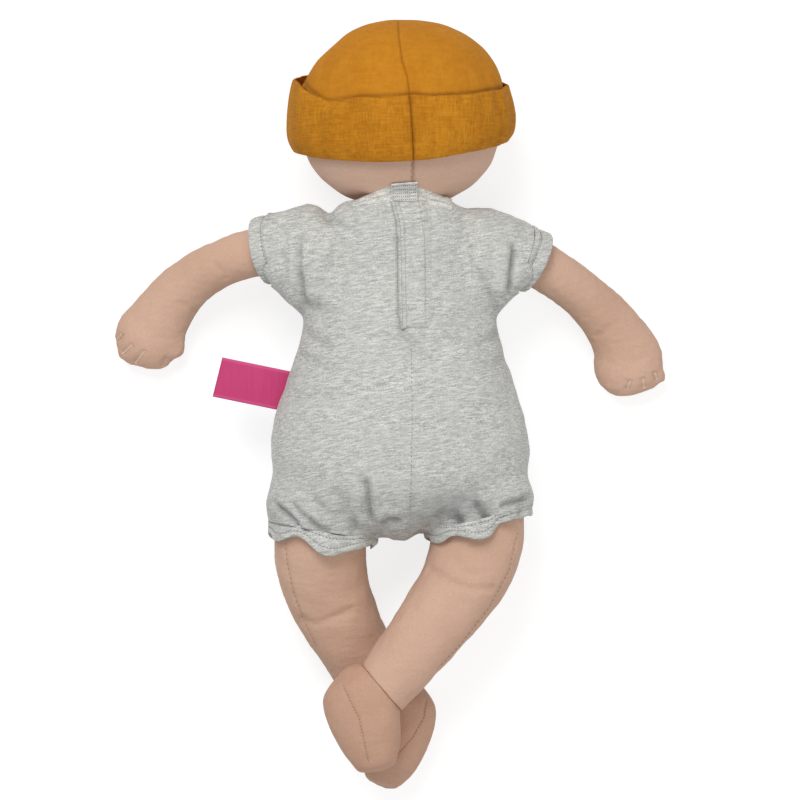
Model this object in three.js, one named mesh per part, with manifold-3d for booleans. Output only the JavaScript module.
// Baby doll: a stuffed cotton doll in a jersey romper and a gauze hat, lying on its tummy.
// Millimetres. +Y runs to the head, +Z out of the back, +X to the doll's right.
// The table is z = 0 and the origin is where the tummy rests on it.
import * as THREE from "three";
import { mergeVertices } from "three/addons/utils/BufferGeometryUtils.js";
import Module from "manifold-3d";

const wasm = await Module();
wasm.setup();

// Cloth, tapes and clearances
const gap = 0.3; // between neighbours that touch on the real doll
const turnGap = 0.7; // between what turns and what stands still
const jersey = 1; // romper cloth
const gauze = 1.4; // hat cloth, two layers of gauze
const tape = 0.7; // hook tape and loop tape, each
const layerGap = 0.3; // between the layers of the back closure
const flattened = 0.5; // how far the weight flattens what lies on the table

// Torso
const torsoLength = 166;
const bellyShare = 0.3; // where along the torso its widest row lies
const hipHalfWidth = 58.5;
const bellyHalfDepth = 38;
const waistHalfWidth = 46.5;
const waistHalfDepth = 33;
const chestHalfWidth = 44;
const chestHalfDepth = 28.5;
const hipEase = 4.2; // how far the romper stands off the hips
const neckLean = 14; // how far the neck end leans towards the back

// Pellet pouch in the tummy
const pouchHalfWidth = 28;
const pouchHalfLength = 16;
const pouchHalfDepth = 19;
const pouchGap = 0.5;
const pouchShare = 0.36; // along the torso
const slitWidth = 0.6; // hand-closed stuffing slit over the pouch

// Head, about an axis that leans towards the back
const headHalfWidth = 51;
const headHalfDepth = 42;
const crownHeight = 46; // from the widest row up to the crown
const chinHeight = 45; // from the widest row down to the neck seam
const headLean = 8.5; // degrees
const headSink = 5.5; // how far the neck end of the head sits below the top of the torso
const headTurn = 25; // degrees either way

// Hat
const brimDrop = 14; // brim below the head's widest row
const cuffHeight = 31;
const cuffEase = 2.9; // how far the cuff stands off the crown of the hat
const cuffLift = 3; // the cuff's top edge stands higher at the left
const brimLift = 2.5; // and its brim higher at the right
const hatSeamX = 4;

// Neck binding round the neck end of the head
const bindingHeight = 5;
const bindingCloth = 1.6;
const bindingRise = 2.5; // of its middle above the neck end of the head
const bindingLean = 15.5; // degrees, higher at the nape
const neckTabHeight = 8;
const neckTabWidth = 15;
const neckTabLeft = -6;

// Arms. Angles are in degrees below level, in the plane of the table
const armLength = 107;
const armRootRadius = 13;
const handHalfWidth = 14.8;
const handHalfDepth = 11.5;
const fingerRadius = 3.9;
const thumbRadius = 4.6;
const thumbLength = 15;
const shoulderGap = 1.2; // round the ball of the arm
const shoulderOut = 4; // shoulder pivot outside the chest
const shoulderShare = 0.855; // along the torso
const armPose = {
  left: { start: 9, bend: 68, over: [0, 1.1] },
  right: { start: 25, bend: 47, over: [0.1, 1] },
};

// Sleeves
const sleeveLength = 19.5;
const sleeveEase = 2.4; // how far the sleeve stands off the arm at its hem
const sleeveFlare = 10.5; // how much wider the sleeve is at the armhole
const sleeveHemWidth = 6.5;
const armholeInset = 4; // armhole inside the side of the chest
const hemFold = 0.6; // how far a turned hem stands out from the cloth beside it

// Legs. Angles are in degrees inwards from straight down
const legLength = 106;
const thighRadius = 22.7;
const kneeRadius = 20;
const calfRadius = 17;
const ankleRadius = 15;
const hipSpacing = 77;
const hipRise = 16; // hips above the bottom of the torso
const legPose = {
  left: { start: -4, bend: 33, over: [0, 0.6], footTurn: 45 },
  right: { start: 0, bend: 38, over: [0, 0.5], footTurn: 56 },
};
const legSwing = { inward: 3, outward: 35 };
const crossingGap = 1; // between the right ankle and the left foot under it

// Feet
const footHalfLength = 27.5;
const footHalfWidth = 17.4;
const footHalfDepth = 15.6;
const footReach = 15; // from the ankle seam to the middle of the foot
const footForward = 5; // of the middle of the foot, towards the toes
const toeRadius = 2.4;

// Romper legs with an elastic in the turned hem
const bloomerEase = 3.6;
const bloomer = { left: { length: 22, tilt: 6 }, right: { length: 17.5, tilt: 13 } }; // hem higher outside
const legHemWidth = 7;
const elasticThickness = 1;
const elasticWidth = 4;
const ruffles = 6;
const ruffleHeight = 0.8;

// Back closure: the right edge laps over the left one, with hook tape on loop tape between them
const backSeamX = 5;
const closureLength = 66; // below the top of the torso
const flapWidth = 15;
const flapLap = 2; // how far the flap reaches past the middle of the back
const flapFoot = 1.6;
const tapeInset = 1.6;

// Label tab in the left side seam
const tabWidth = 20;
const tabLength = 34;
const tabRibbon = 0.5;
const tabRise = 69; // above the bottom of the torso
const tabTilt = 11.6; // degrees above level

const cottonSkin = new THREE.MeshStandardMaterial({ color: 0xd2ab90, roughness: 0.9, metalness: 0 });
const greyJersey = new THREE.MeshStandardMaterial({ color: 0xb4b5b3, roughness: 0.95, metalness: 0 });
const mustardGauze = new THREE.MeshStandardMaterial({ color: 0xc98a26, roughness: 0.95, metalness: 0 });
const greyTape = new THREE.MeshStandardMaterial({ color: 0xc9cac8, roughness: 0.9, metalness: 0 });
const whiteElastic = new THREE.MeshStandardMaterial({ color: 0xe8e6e0, roughness: 0.8, metalness: 0 });
const magentaRibbon = new THREE.MeshStandardMaterial({ color: 0xc23a74, roughness: 0.6, metalness: 0 });
const pouchCotton = new THREE.MeshStandardMaterial({ color: 0xece5d8, roughness: 0.9, metalness: 0 });

const up = new THREE.Vector3(0, 0, 1);
const sideways = new THREE.Vector3(1, 0, 0);
const radians = THREE.MathUtils.degToRad;
const smooth = THREE.MathUtils.smoothstep;
const lerp = THREE.MathUtils.lerp;
const sideSign = { left: -1, right: 1 };
const farAway = 400;
const still = () => 0;

// A smooth function of 0 to 1 through evenly spaced values.
function profile(values) {
  const last = values.length - 1;
  const curve = new THREE.SplineCurve(values.map((value, i) => new THREE.Vector2(i / last, value)));
  return (t) => curve.getPoint(THREE.MathUtils.clamp(t, 0, 1)).y;
}

// One ring of a loft: an ellipse of half width a along u and half depth b along v.
function ring(centre, [u, v], [a, b], sides, wave = still, shift = still) {
  const along = new THREE.Vector3().crossVectors(u, v);
  return Array.from({ length: sides }, (_, i) => {
    const angle = (i / sides) * Math.PI * 2;
    return centre
      .clone()
      .addScaledVector(u, (a + wave(angle)) * Math.cos(angle))
      .addScaledVector(v, (b + wave(angle)) * Math.sin(angle))
      .addScaledVector(along, shift(angle));
  });
}

// A closed body through rings that follow one another along u x v, with a point at each end.
function loft(rings, start, end) {
  const sides = rings[0].length;
  const points = [start, ...rings.flat(), end];
  const at = (row, i) => 1 + row * sides + (i % sides);
  const faces = [];
  for (let i = 0; i < sides; i++) {
    faces.push(0, at(0, i + 1), at(0, i));
    for (let row = 0; row < rings.length - 1; row++) {
      faces.push(at(row, i), at(row, i + 1), at(row + 1, i));
      faces.push(at(row, i + 1), at(row + 1, i + 1), at(row + 1, i));
    }
    faces.push(points.length - 1, at(rings.length - 1, i), at(rings.length - 1, i + 1));
  }
  const geometry = new THREE.BufferGeometry();
  const numbers = points.flatMap((point) => point.toArray());
  geometry.setAttribute("position", new THREE.Float32BufferAttribute(numbers, 3));
  geometry.setIndex(faces);
  return solid(geometry);
}

// A three.js geometry as a manifold solid.
function solid(geometry) {
  const bare = new THREE.BufferGeometry();
  bare.setAttribute("position", geometry.attributes.position);
  bare.setIndex(geometry.index);
  const merged = mergeVertices(bare, 1e-4);
  const vertProperties = new Float32Array(merged.attributes.position.array);
  const triVerts = new Uint32Array(merged.index.array);
  return new wasm.Manifold(new wasm.Mesh({ numProp: 3, vertProperties, triVerts }));
}

// A box between two corners.
function block(low, high) {
  const size = high.map((value, i) => value - low[i]);
  const geometry = new THREE.BoxGeometry(...size);
  geometry.translate(...low.map((value, i) => value + size[i] / 2));
  return solid(geometry);
}

// From one value to another, stopping at every whole number of steps between them.
function stops(from, to, step) {
  const between = [];
  for (let i = Math.floor(from / step) + 1; i * step < to - step / 9; i++) between.push(i * step);
  return [from, ...between.filter((value) => value > from + step / 9), to];
}

const union = (parts) => parts.reduce((whole, part) => whole.add(part));
const above = (z) => block([-farAway, -farAway, z], [farAway, farAway, farAway]);
const below = (z) => block([-farAway, -farAway, -farAway], [farAway, farAway, z]);
const leftOf = (x) => block([-farAway, -farAway, -farAway], [x, farAway, farAway]);
const rightOf = (x) => block([x, -farAway, -farAway], [farAway, farAway, farAway]);
const onTable = (part) => part.subtract(below(0));

const model = new THREE.Group();

// A moving body is a group with its origin at its joint; its pieces are made in the doll's frame.
function bodyAt(pivot, parent) {
  const group = new THREE.Group();
  group.position.copy(pivot).sub(parent.userData.pivot ?? new THREE.Vector3());
  group.userData.pivot = pivot;
  parent.add(group);
  return group;
}

function piece(name, part, material, body) {
  const { vertProperties, triVerts, numProp, numVert } = part.getMesh();
  const positions = new Float32Array(numVert * 3);
  for (let i = 0; i < numVert; i++) {
    positions.set(vertProperties.subarray(i * numProp, i * numProp + 3), i * 3);
  }
  const geometry = new THREE.BufferGeometry();
  geometry.setAttribute("position", new THREE.BufferAttribute(positions, 3));
  geometry.setIndex(new THREE.BufferAttribute(new Uint32Array(triVerts), 1));
  const { pivot } = body.userData;
  geometry.translate(-pivot.x, -pivot.y, -pivot.z);
  geometry.computeVertexNormals();
  const mesh = new THREE.Mesh(geometry, material);
  mesh.name = name;
  body.add(mesh);
}

// Torso and romper share one form. Rows: share along, half width, half depth, lean to the back.
const torsoBottomY = -bellyShare * torsoLength;
const torsoTopY = torsoBottomY + torsoLength;
const bellyEase = hipEase / 3;
const seamZ = bellyHalfDepth + gap + bellyEase + jersey - flattened;
const torsoRows = [
  [0.012, 0.38 * hipHalfWidth, 0.36 * bellyHalfDepth, 0],
  [0.045, 0.66 * hipHalfWidth, 0.62 * bellyHalfDepth, 0],
  [0.1, 0.86 * hipHalfWidth, 0.84 * bellyHalfDepth, 0],
  [0.18, 0.98 * hipHalfWidth, 0.96 * bellyHalfDepth, 0],
  [bellyShare, hipHalfWidth, bellyHalfDepth, 0],
  [0.44, lerp(hipHalfWidth, waistHalfWidth, 0.45), lerp(bellyHalfDepth, waistHalfDepth, 0.4), 0],
  [0.6, waistHalfWidth, waistHalfDepth, 0],
  [0.76, chestHalfWidth, lerp(waistHalfDepth, chestHalfDepth, 0.7), 0],
  [shoulderShare, 0.97 * chestHalfWidth, chestHalfDepth, 0.05],
  [0.92, 0.9 * chestHalfWidth, 0.88 * chestHalfDepth, 0.3],
  [0.962, 0.7 * chestHalfWidth, 0.72 * chestHalfDepth, 0.65],
  [0.99, 0.42 * chestHalfWidth, 0.46 * chestHalfDepth, 1],
];

// The torso's form; loosened it is the inner face of the romper, and grown the layers over that.
function torsoForm(sides, loosened, grown) {
  const rings = torsoRows.map(([share, halfWidth, halfDepth, lean]) => {
    const ease = loosened * (gap + hipEase * (1 - smooth(share, 0.15, 0.72)));
    const depthEase = loosened * (gap + bellyEase * (1 - smooth(share, bellyShare, 0.72)));
    const drop = (loosened * hipEase + grown) * (1 - smooth(share, 0, 0.25));
    const y = torsoBottomY + share * torsoLength - drop + grown * smooth(share, 0.85, 1);
    const size = [halfDepth + depthEase + grown, halfWidth + ease + grown];
    return ring(new THREE.Vector3(0, y, seamZ + lean * neckLean), [up, sideways], size, sides);
  });
  const bottom = new THREE.Vector3(0, torsoBottomY - loosened * hipEase - grown, seamZ);
  const top = new THREE.Vector3(0, torsoTopY + loosened * gap + grown, seamZ + neckLean);
  return loft(rings, bottom, top);
}
const romperForm = (grown) => torsoForm(24, 1, grown);
const romperLayer = (low, high) => romperForm(high).subtract(romperForm(low));

// The head's own frame has its origin in the middle of the widest row and Y along the axis.
const cuffHalfWidth = headHalfWidth + gap + 2 * gauze + cuffEase;
const cuffHalfDepth = headHalfDepth + gap + 2 * gauze + cuffEase / 2;
const lean = radians(headLean);
const cuffWidest = 0.4 * cuffHeight - brimDrop; // height of the cuff's widest row
const headZ = cuffHalfDepth * Math.cos(lean) - cuffWidest * Math.sin(lean) - flattened;
const headY = torsoTopY - headSink + chinHeight * Math.cos(lean);
const headCentre = new THREE.Vector3(0, headY, headZ);
const headFrame = new THREE.Matrix4().makeRotationX(lean).setPosition(headCentre);

function inHeadFrame(part, turn = 0) {
  const matrix = headFrame.clone().multiply(new THREE.Matrix4().makeRotationY(radians(turn)));
  return part.transform(matrix.elements);
}

// Share of its full size that the head has at a height above or below its widest row.
function headShare(height) {
  const [reach, power] = height > 0 ? [crownHeight, 2.3] : [chinHeight, 2.15];
  return Math.pow(1 - Math.pow(Math.min(1, Math.abs(height) / reach), power), 1 / power);
}

// The head's form. Made for the hat, it runs straight down past the widest row, so the hat pulls off.
function headForm(grown, { straightTo = 0, crown = true, sides = 24 } = {}) {
  const steps = 12;
  const rings = [];
  const end = (height) => new THREE.Vector3(0, height, 0);
  for (let i = 1; i < steps; i++) {
    const angle = (i / steps) * Math.PI - Math.PI / 2;
    const reach = angle > 0 ? crownHeight : chinHeight;
    const height = Math.sin(angle) * reach;
    if ((straightTo && height < -1) || (!crown && height > chinHeight / 3)) continue;
    const share = headShare(height);
    const nape = 1 - 0.16 * smooth(-height / chinHeight, 0.1, 0.9);
    const size = [headHalfDepth * share * nape + grown, headHalfWidth * share + grown];
    rings.push(ring(end(height + (grown * height) / reach), [up, sideways], size, sides));
  }
  if (straightTo) {
    const size = [headHalfDepth + grown, headHalfWidth + grown];
    const tilt = (angle) => brimLift * Math.sin(angle);
    rings.unshift(ring(end(-straightTo), [up, sideways], size, sides, still, tilt));
  }
  const top = crown ? crownHeight + grown : chinHeight / 3;
  return loft(rings, end(straightTo ? -straightTo : -chinHeight - grown), end(top));
}

// Where the neck end of the head reaches as it turns.
function headSweep(grown) {
  const turns = [-headTurn, 0, headTurn];
  return union(turns.map((turn) => inHeadFrame(headForm(grown, { crown: false }), turn)));
}

// A limb's line starts at its pivot and bends. Rows hold a place and the direction there.
function limbLine(root, heading, { start, bend, over }, length, endZ, steps) {
  const places = [root.clone()];
  const angles = [];
  for (let i = 0; i <= steps; i++) {
    angles.push(radians(start + bend * smooth(i / steps, ...over)));
    const next = places[i].clone().addScaledVector(heading(angles[i]), length / steps);
    next.z = lerp(root.z, endZ, smooth((i + 1) / steps, 0, 0.85));
    places.push(next);
  }
  const rows = angles.map((angle, i) => {
    const along = places[i + 1].clone().sub(places[Math.max(i - 1, 0)]).normalize();
    return { share: i / steps, level: heading(angle), place: places[i], along };
  });
  const placeAt = (reach) => {
    const index = THREE.MathUtils.clamp((reach / length) * steps, 0, steps);
    const low = Math.floor(index);
    return places[low].clone().lerp(places[low + 1], index - low);
  };
  return { rows, placeAt, root: rows[0], end: rows.at(-1) };
}

// Two directions across a line, the second one roughly up.
function across(along) {
  const u = new THREE.Vector3().crossVectors(up, along).normalize();
  return [u, new THREE.Vector3().crossVectors(along, u)];
}

// Rings of the ball at the root of a limb, up to its middle.
function rootRings({ place, level }, radius, sides) {
  return [1, 2, 3].map((i) => {
    const angle = (i / 4) * (Math.PI / 2);
    const centre = place.clone().addScaledVector(level, -radius * Math.cos(angle));
    return ring(centre, across(level), [radius * Math.sin(angle), radius * Math.sin(angle)], sides);
  });
}

// A limb: a ball at its pivot, then ellipses along its line.
function limbForm({ rows, root, end }, widthAt, depthAt, sides) {
  const rings = rows.map((row, i) => {
    return ring(row.place, across(i ? row.along : row.level), [widthAt(row.share), depthAt(row.share)], sides);
  });
  const start = root.place.clone().addScaledVector(root.level, -widthAt(0));
  const tip = end.place.clone().addScaledVector(end.along, depthAt(1) / 3);
  return loft([...rootRings(root, widthAt(0), sides), ...rings], start, tip);
}

// The socket of a limb's ball.
function socket({ place }, radius) {
  const geometry = new THREE.SphereGeometry(radius, 16, 10);
  geometry.translate(place.x, place.y, place.z);
  return solid(geometry);
}

// A round-ended rod that starts at a point.
function rod(start, along, radius, reach, sides) {
  const geometry = new THREE.CapsuleGeometry(radius, reach, 2, sides);
  geometry.translate(0, reach / 2, 0);
  geometry.applyQuaternion(new THREE.Quaternion().setFromUnitVectors(new THREE.Vector3(0, 1, 0), along));
  geometry.translate(start.x, start.y, start.z);
  return solid(geometry);
}

// Arms
const shoulderX = chestHalfWidth + shoulderOut;
const shoulderY = torsoBottomY + shoulderShare * torsoLength;
const armSides = 16;
const wristRadius = 0.92 * armRootRadius;
const armWidths = profile([
  armRootRadius,
  0.97 * armRootRadius,
  wristRadius,
  wristRadius,
  lerp(wristRadius, handHalfWidth, 0.3),
  lerp(wristRadius, handHalfWidth, 0.75),
  handHalfWidth,
  0.5 * handHalfWidth,
]);
const armDepths = profile([
  armRootRadius,
  wristRadius,
  wristRadius,
  wristRadius,
  handHalfDepth,
  0.4 * handHalfDepth,
]);

function armLine(name) {
  const root = new THREE.Vector3(sideSign[name] * shoulderX, shoulderY, seamZ);
  const heading = (angle) => new THREE.Vector3(sideSign[name] * Math.cos(angle), -Math.sin(angle), 0);
  return limbLine(root, heading, armPose[name], armLength, handHalfDepth - flattened, 12);
}

// Four fingers across the end of the hand, and a thumb on its inner side.
function fingers(name, { rows }) {
  const { place, level } = rows.at(-2);
  const inward = new THREE.Vector3().crossVectors(level, up).multiplyScalar(sideSign[name]);
  const spacing = (2 * handHalfWidth - 2.6 * fingerRadius) / 3;
  const made = [0, 1, 2, 3].map((i) => {
    const start = place.clone().addScaledVector(inward, spacing * (i - 1.5));
    return rod(start, level, fingerRadius, fingerRadius * (2.1 - 0.35 * Math.abs(i - 1.3)), 8);
  });
  const base = rows.at(-4).place.clone().addScaledVector(inward, handHalfWidth - 1.2 * thumbRadius);
  const way = level.clone().addScaledVector(inward, 0.2).normalize();
  return union([...made, rod(base, way, thumbRadius, thumbLength, 8)]);
}

// Everything past an armhole, which lies in a plane.
const armholeX = chestHalfWidth - armholeInset;
const pastArmhole = (name, offset) => (name === "left" ? leftOf(-armholeX - offset) : rightOf(armholeX + offset));

// Sleeve: a tapering tube round the arm. Share 0 is the armhole and share 1 the hem.
function sleeveForm(name, grown, from, to) {
  const line = armLine(name);
  const outwards = new THREE.Vector3(sideSign[name], 0, 0);
  const armhole = line.root.place.clone().addScaledVector(outwards, -0.1 * sleeveLength);
  armhole.y -= 0.75 * sleeveFlare;
  const hem = line.placeAt(sleeveLength);
  const hemWay = line.placeAt(sleeveLength + 4).sub(line.placeAt(sleeveLength - 4)).normalize();
  const hemRadius = armRootRadius + sleeveEase;
  const centreAt = (share) => armhole.clone().lerp(hem, share);
  const rings = stops(from, to, 0.35).map((share) => {
    const way = outwards.clone().lerp(hemWay, share).normalize();
    const flare = sleeveFlare * (1 - THREE.MathUtils.clamp(share, 0, 1));
    return ring(centreAt(share), across(way), [hemRadius + flare + grown, hemRadius + 0.7 * flare + grown], 18);
  });
  return loft(rings, centreAt(from), centreAt(to));
}

// Legs
const legSides = 18;
const legWidths = profile([thighRadius, thighRadius, kneeRadius, calfRadius, ankleRadius]);
const legDepths = profile([
  thighRadius,
  0.94 * thighRadius,
  0.9 * kneeRadius,
  0.9 * calfRadius,
  0.92 * ankleRadius,
]);
const hipY = torsoBottomY + hipRise;
const ankleZ = {
  left: footHalfDepth - flattened,
  right: 3 * footHalfDepth - flattened + crossingGap,
};

function legLine(name) {
  const root = new THREE.Vector3((sideSign[name] * hipSpacing) / 2, hipY, seamZ);
  const heading = (angle) => new THREE.Vector3(-sideSign[name] * Math.sin(angle), -Math.cos(angle), 0);
  return limbLine(root, heading, legPose[name], legLength, ankleZ[name], 10);
}

// The room for a thigh below its socket, as it swings in and out.
function thighRoom(name) {
  const { place, level } = legLine(name).root;
  const radius = thighRadius + turnGap;
  const edges = [legSwing.inward, legSwing.outward].map((degrees, i) => {
    const way = level.clone().applyAxisAngle(up, -sideSign[name] * radians(i ? -degrees : degrees));
    const out = new THREE.Vector3().crossVectors(way, up).multiplyScalar(sideSign[name] * (i ? -1 : 1));
    const corner = place.clone().addScaledVector(out, radius);
    return [corner, corner.clone().addScaledVector(way, 3 * radius)];
  });
  const corners = [edges[0][0], edges[0][1], edges[1][1], edges[1][0]];
  const outline = new THREE.Shape(corners.map(({ x, y }) => new THREE.Vector2(x, y)));
  const geometry = new THREE.ExtrudeGeometry(outline, { depth: 2 * radius, bevelEnabled: false });
  geometry.translate(0, 0, place.z - radius);
  return solid(geometry);
}

// Everything past the ankle seam, a plane square to the end of the leg.
function pastAnkle(name, offset) {
  const { place, level } = legLine(name).end;
  const size = 6 * footHalfLength;
  const geometry = new THREE.BoxGeometry(size, size, size);
  geometry.translate(0, size / 2 + offset, 0);
  geometry.applyQuaternion(new THREE.Quaternion().setFromUnitVectors(new THREE.Vector3(0, 1, 0), level));
  geometry.translate(place.x, place.y, place.z);
  return solid(geometry);
}

// Foot: an egg from heel to toes that turns back from the leg's line, with a row of toes.
function footForm(name) {
  const { place, level } = legLine(name).end;
  const footWay = level.clone().applyAxisAngle(up, sideSign[name] * radians(legPose[name].footTurn));
  const middle = place.clone().addScaledVector(level, footReach).addScaledVector(footWay, footForward);
  const [sideWay] = across(footWay);
  const at = (reach, side = 0) => middle.clone().addScaledVector(footWay, reach).addScaledVector(sideWay, side);
  const widths = profile([0.3, 0.86, 1, 0.98, 0.84, 0.64, 0.42]);
  const steps = 9;
  const rings = Array.from({ length: steps + 1 }, (_, i) => {
    const share = widths(i / steps);
    const size = [footHalfWidth * share, footHalfDepth * Math.min(1, 1.06 * share)];
    return ring(at(((2 * i) / steps - 1) * footHalfLength * 0.97), across(footWay), size, 18);
  });
  const egg = loft(rings, at(-footHalfLength), at(footHalfLength));
  const neckStart = place.clone().addScaledVector(level, -footReach / 2);
  const neck = rod(neckStart, level, 0.97 * ankleRadius, footReach, 18);
  const toes = [-2, -1, 0, 1, 2].map((i) => {
    const reach = footHalfLength - toeRadius * (1.1 + 0.3 * Math.abs(i - 0.4));
    return rod(at(reach, i * 1.25 * toeRadius), footWay, toeRadius, toeRadius, 6);
  });
  return union([egg, neck, ...toes]);
}

// Romper leg: a loose tube round the thigh, rippled towards its hem, between two reaches along the leg.
function bloomerForm(name, grown, from, to) {
  const { root, placeAt } = legLine(name);
  const radius = thighRadius + bloomerEase + jersey + grown;
  const { length, tilt } = bloomer[name];
  const sides = 4 * ruffles;
  const rings = stops(from, to, length / 2).map((reach) => {
    const level = root.level.clone().applyAxisAngle(up, (sideSign[name] * radians(tilt) * reach) / length);
    const ripple = ruffleHeight * smooth(reach, length / 2, length);
    const wave = (angle) => ripple * (1 + Math.cos(ruffles * angle));
    return ring(placeAt(reach), across(level), [radius, radius], sides, wave);
  });
  if (from <= 0) rings.unshift(...rootRings(root, radius, sides));
  const start = from > 0 ? placeAt(from) : root.place.clone().addScaledVector(root.level, -radius);
  return loft(rings, start, placeAt(to));
}

// The space between two leaning planes round the neck.
function bindingZone(height) {
  const geometry = new THREE.BoxGeometry(farAway, height, farAway);
  geometry.rotateX(radians(-bindingLean));
  geometry.translate(0, bindingRise - chinHeight, 0);
  return inHeadFrame(solid(geometry));
}

const closureBottomY = torsoTopY - closureLength;
const flapRootX = flapWidth - flapLap;
const onBack = (left, right, bottom, top) => block([left, bottom, seamZ], [right, top, farAway]);

function buildTorso() {
  const body = bodyAt(new THREE.Vector3(), model);
  const head = headSweep(turnGap);
  const neck = headSweep(turnGap + bindingCloth);
  const neckHole = headSweep(turnGap + bindingCloth + gap).intersect(bindingZone(bindingHeight + 2 * gap));
  const limbs = ["left", "right"].flatMap((name) => [
    socket(armLine(name).root, armRootRadius + shoulderGap),
    socket(legLine(name).root, thighRadius + turnGap),
    thighRoom(name),
  ]);
  const cutters = union([head, neckHole, ...limbs]);

  const pouchY = torsoBottomY + pouchShare * torsoLength;
  const pouchForm = (grown) => {
    const geometry = new THREE.SphereGeometry(1, 16, 8);
    geometry.scale(pouchHalfWidth + grown, pouchHalfLength + grown, pouchHalfDepth + grown);
    geometry.translate(0, pouchY, seamZ);
    return solid(geometry);
  };
  const slit = onBack(-slitWidth / 2, slitWidth / 2, pouchY - pouchHalfLength, pouchY + pouchHalfLength);
  const torso = torsoForm(24, 0, 0).subtract(cutters).subtract(pouchForm(pouchGap)).subtract(slit);
  piece("torso", torso, cottonSkin, body);
  piece("pellet_pouch", pouchForm(0), pouchCotton, body);

  const sleeveHoles = ["left", "right"].map((name) =>
    sleeveForm(name, jersey + gap, -0.4, 1.2).intersect(pastArmhole(name, -gap)),
  );
  const legHoles = ["left", "right"].map((name) => bloomerForm(name, gap, 0, 1.2 * bloomer[name].length));
  const shell = romperLayer(0, jersey).subtract(cutters).subtract(union([...sleeveHoles, ...legHoles]));
  const back = shell.intersect(above(seamZ + gap / 2));
  const seamLeft = leftOf(backSeamX - gap / 2).add(
    onBack(0, flapRootX - gap / 2, closureBottomY + gap / 2, farAway),
  );
  const seamRight = rightOf(backSeamX + gap / 2).subtract(
    onBack(0, flapRootX + gap / 2, closureBottomY - gap / 2, farAway),
  );
  piece("romper_front", onTable(shell.intersect(below(seamZ - gap / 2))), greyJersey, body);
  piece("romper_back_left", back.intersect(seamLeft), greyJersey, body);
  piece("romper_back_right", back.intersect(seamRight), greyJersey, body);

  const closureGap = onBack(neckTabLeft - bindingCloth, flapRootX + flapFoot + 1.5 * bindingCloth, 0, farAway);
  const band = neck.subtract(head).intersect(bindingZone(bindingHeight));
  piece("neck_binding", band.subtract(closureGap), greyJersey, body);

  const tapeTop = torsoTopY - headSink;
  const tapeZone = onBack(tapeInset - flapLap, flapRootX - flapFoot, closureBottomY + 2, tapeTop).subtract(head);
  const loopLow = jersey + layerGap;
  piece("loop_tape", romperLayer(loopLow, loopLow + tape).intersect(tapeZone), greyTape, body);

  // The flap's body turns about its root: hook tape, the flap with its folded foot, and the neck tab.
  const flapBody = bodyAt(new THREE.Vector3(flapRootX, 0, seamZ), body);
  const hookLow = loopLow + tape + layerGap;
  const flapLow = hookLow + tape + layerGap;
  const flapZone = onBack(-flapLap, flapRootX + flapFoot, closureBottomY + gap, farAway);
  const footZone = onBack(flapRootX + gap, flapRootX + flapFoot, closureBottomY + gap, tapeTop);
  const tabZone = bindingZone(neckTabHeight).intersect(
    onBack(neckTabLeft, neckTabLeft + neckTabWidth, 0, farAway),
  );
  const flap = romperLayer(flapLow, flapLow + jersey).intersect(flapZone);
  const foot = romperLayer(jersey + gap, flapLow + jersey / 2).intersect(footZone);
  piece("hook_tape", romperLayer(hookLow, hookLow + tape).intersect(tapeZone), greyTape, flapBody);
  piece("closure_flap", flap.add(foot).subtract(head).subtract(neck), greyJersey, flapBody);
  const neckTab = neck.subtract(head).intersect(tabZone).subtract(romperForm(jersey + gap));
  piece("neck_tab", neckTab, greyJersey, flapBody);
  return body;
}

// A loop of ribbon sewn in at its open end.
function buildTab(torsoBody) {
  const outer = 1.5 * tabRibbon;
  const inner = 0.5 * tabRibbon;
  const outline = new THREE.Shape();
  outline.moveTo(0, -outer);
  outline.absarc(tabLength - outer, 0, outer, -Math.PI / 2, Math.PI / 2, false);
  outline.lineTo(0, outer);
  outline.lineTo(0, inner);
  outline.absarc(tabLength - outer, 0, inner, Math.PI / 2, -Math.PI / 2, true);
  outline.lineTo(0, -inner);
  const options = { depth: tabWidth, bevelEnabled: false, curveSegments: 5 };
  const geometry = new THREE.ExtrudeGeometry(outline, options);
  const pivot = new THREE.Vector3(-hipHalfWidth, torsoBottomY + tabRise, seamZ);
  geometry.rotateX(Math.PI / 2);
  geometry.translate(0, tabWidth / 2, 0);
  geometry.rotateZ(Math.PI - radians(tabTilt));
  geometry.translate(pivot.x, pivot.y, pivot.z);
  const body = bodyAt(pivot, torsoBody);
  piece("label_tab", solid(geometry).subtract(romperForm(jersey + turnGap)), magentaRibbon, body);
}

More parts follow.
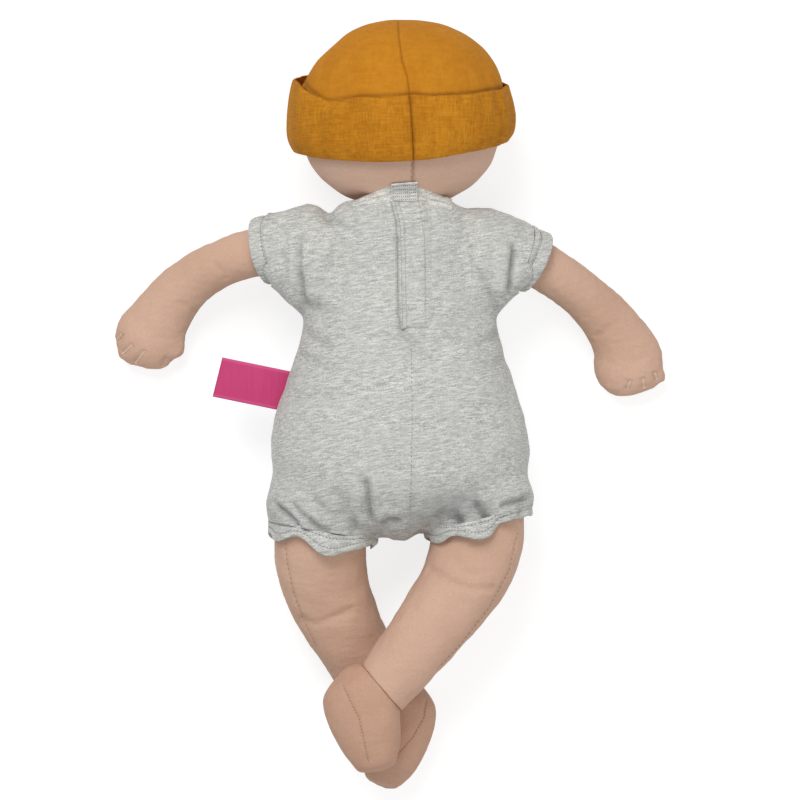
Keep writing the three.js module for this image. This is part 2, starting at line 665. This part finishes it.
function buildHead() {
  const body = bodyAt(headCentre, model);
  piece("head", inHeadFrame(headForm(0)), cottonSkin, body);

  const cuffTop = cuffHeight - brimDrop;
  const middle = (height) => new THREE.Vector3(0, height, 0);
  const cuffRing = ([height, inset, lift]) => {
    const size = [cuffHalfDepth - inset, cuffHalfWidth - inset];
    return ring(middle(height), [up, sideways], size, 24, still, (angle) => -lift * Math.sin(angle));
  };
  const cuffRows = [
    [-brimDrop, 1.6 * cuffEase, -brimLift],
    [cuffWidest, 0, -brimLift / 2],
    [0.7 * cuffHeight - brimDrop, 0.3 * cuffEase, cuffLift / 2],
    [cuffTop, 0.9 * cuffEase, cuffLift],
  ];
  const pocketRows = [
    [gauze - brimDrop, 1.6 * cuffEase + gauze, -brimLift],
    [cuffWidest, gauze, -brimLift / 2],
    [0.7 * cuffHeight - brimDrop, 0.3 * cuffEase + gauze, cuffLift / 2],
    [cuffTop, 0.9 * cuffEase + gauze, cuffLift],
    [cuffTop + cuffHeight, 0.9 * cuffEase + gauze, cuffLift],
  ];
  const cuff = loft(cuffRows.map(cuffRing), middle(-brimDrop), middle(cuffTop));
  const pocket = loft(pocketRows.map(cuffRing), middle(gauze - brimDrop), middle(cuffTop + cuffHeight));
  const crown = headForm(gap + gauze, { straightTo: brimDrop });
  const hollow = headForm(gap, { straightTo: 2 * brimDrop });
  const hat = onTable(inHeadFrame(cuff.subtract(pocket).add(crown).subtract(hollow)));
  const hatBody = bodyAt(headCentre, body);
  piece("hat_left", hat.intersect(leftOf(hatSeamX - gap / 2)), mustardGauze, hatBody);
  piece("hat_right", hat.intersect(rightOf(hatSeamX + gap / 2)), mustardGauze, hatBody);
}

function buildArm(name) {
  const line = armLine(name);
  const body = bodyAt(line.root.place, model);
  const arm = limbForm(line, armWidths, armDepths, armSides);
  piece(`arm_${name}`, onTable(arm.add(fingers(name, line))), cottonSkin, body);

  const span = 1.1 * sleeveLength;
  const hemStart = 1 - sleeveHemWidth / span;
  const hollow = sleeveForm(name, 0, -0.5, 1.1);
  const tube = sleeveForm(name, jersey, -0.4, hemStart - gap / span).subtract(hollow);
  const set = tube.intersect(pastArmhole(name, 0)).subtract(romperForm(0));
  piece(`sleeve_${name}`, set, greyJersey, body);
  const band = sleeveForm(name, jersey + hemFold, hemStart, 1).subtract(hollow);
  piece(`sleeve_hem_${name}`, band, greyJersey, body);
}

function buildLeg(name) {
  const line = legLine(name);
  const body = bodyAt(line.root.place, model);
  const leg = limbForm(line, legWidths, legDepths, legSides);
  piece(`leg_${name}`, onTable(leg.subtract(pastAnkle(name, -gap / 2))), cottonSkin, body);
  piece(`foot_${name}`, onTable(footForm(name).intersect(pastAnkle(name, gap / 2))), cottonSkin, body);

  const hemEnd = bloomer[name].length;
  const hemTop = hemEnd - legHemWidth;
  const tube = bloomerForm(name, 0, 0, hemTop - gap).subtract(bloomerForm(name, -jersey, 0, hemEnd));
  piece(`romper_leg_${name}`, tube.subtract(romperForm(0)), greyJersey, body);

  // The turned hem is a channel open at its top, and the elastic lies in it.
  const within = (depth, thickness, from, to) => {
    const skin = bloomerForm(name, hemFold - depth, from, to);
    return skin.subtract(bloomerForm(name, hemFold - depth - thickness, from - 1, to + 1));
  };
  const channel = elasticThickness + 2 * layerGap;
  const band = within(0, 2 * jersey + channel, hemTop, hemEnd).subtract(
    within(jersey, channel, hemTop - 1, hemEnd - jersey),
  );
  const foot = hemEnd - jersey - layerGap;
  const elastic = within(jersey + layerGap, elasticThickness, foot - elasticWidth, foot);
  piece(`leg_hem_${name}`, band.subtract(romperForm(jersey + gap)), greyJersey, body);
  piece(`leg_elastic_${name}`, elastic.subtract(romperForm(jersey + gap)), whiteElastic, body);
}

const torsoBody = buildTorso();
buildTab(torsoBody);
buildHead();
for (const name of ["left", "right"]) {
  buildArm(name);
  buildLeg(name);
}

export default model;
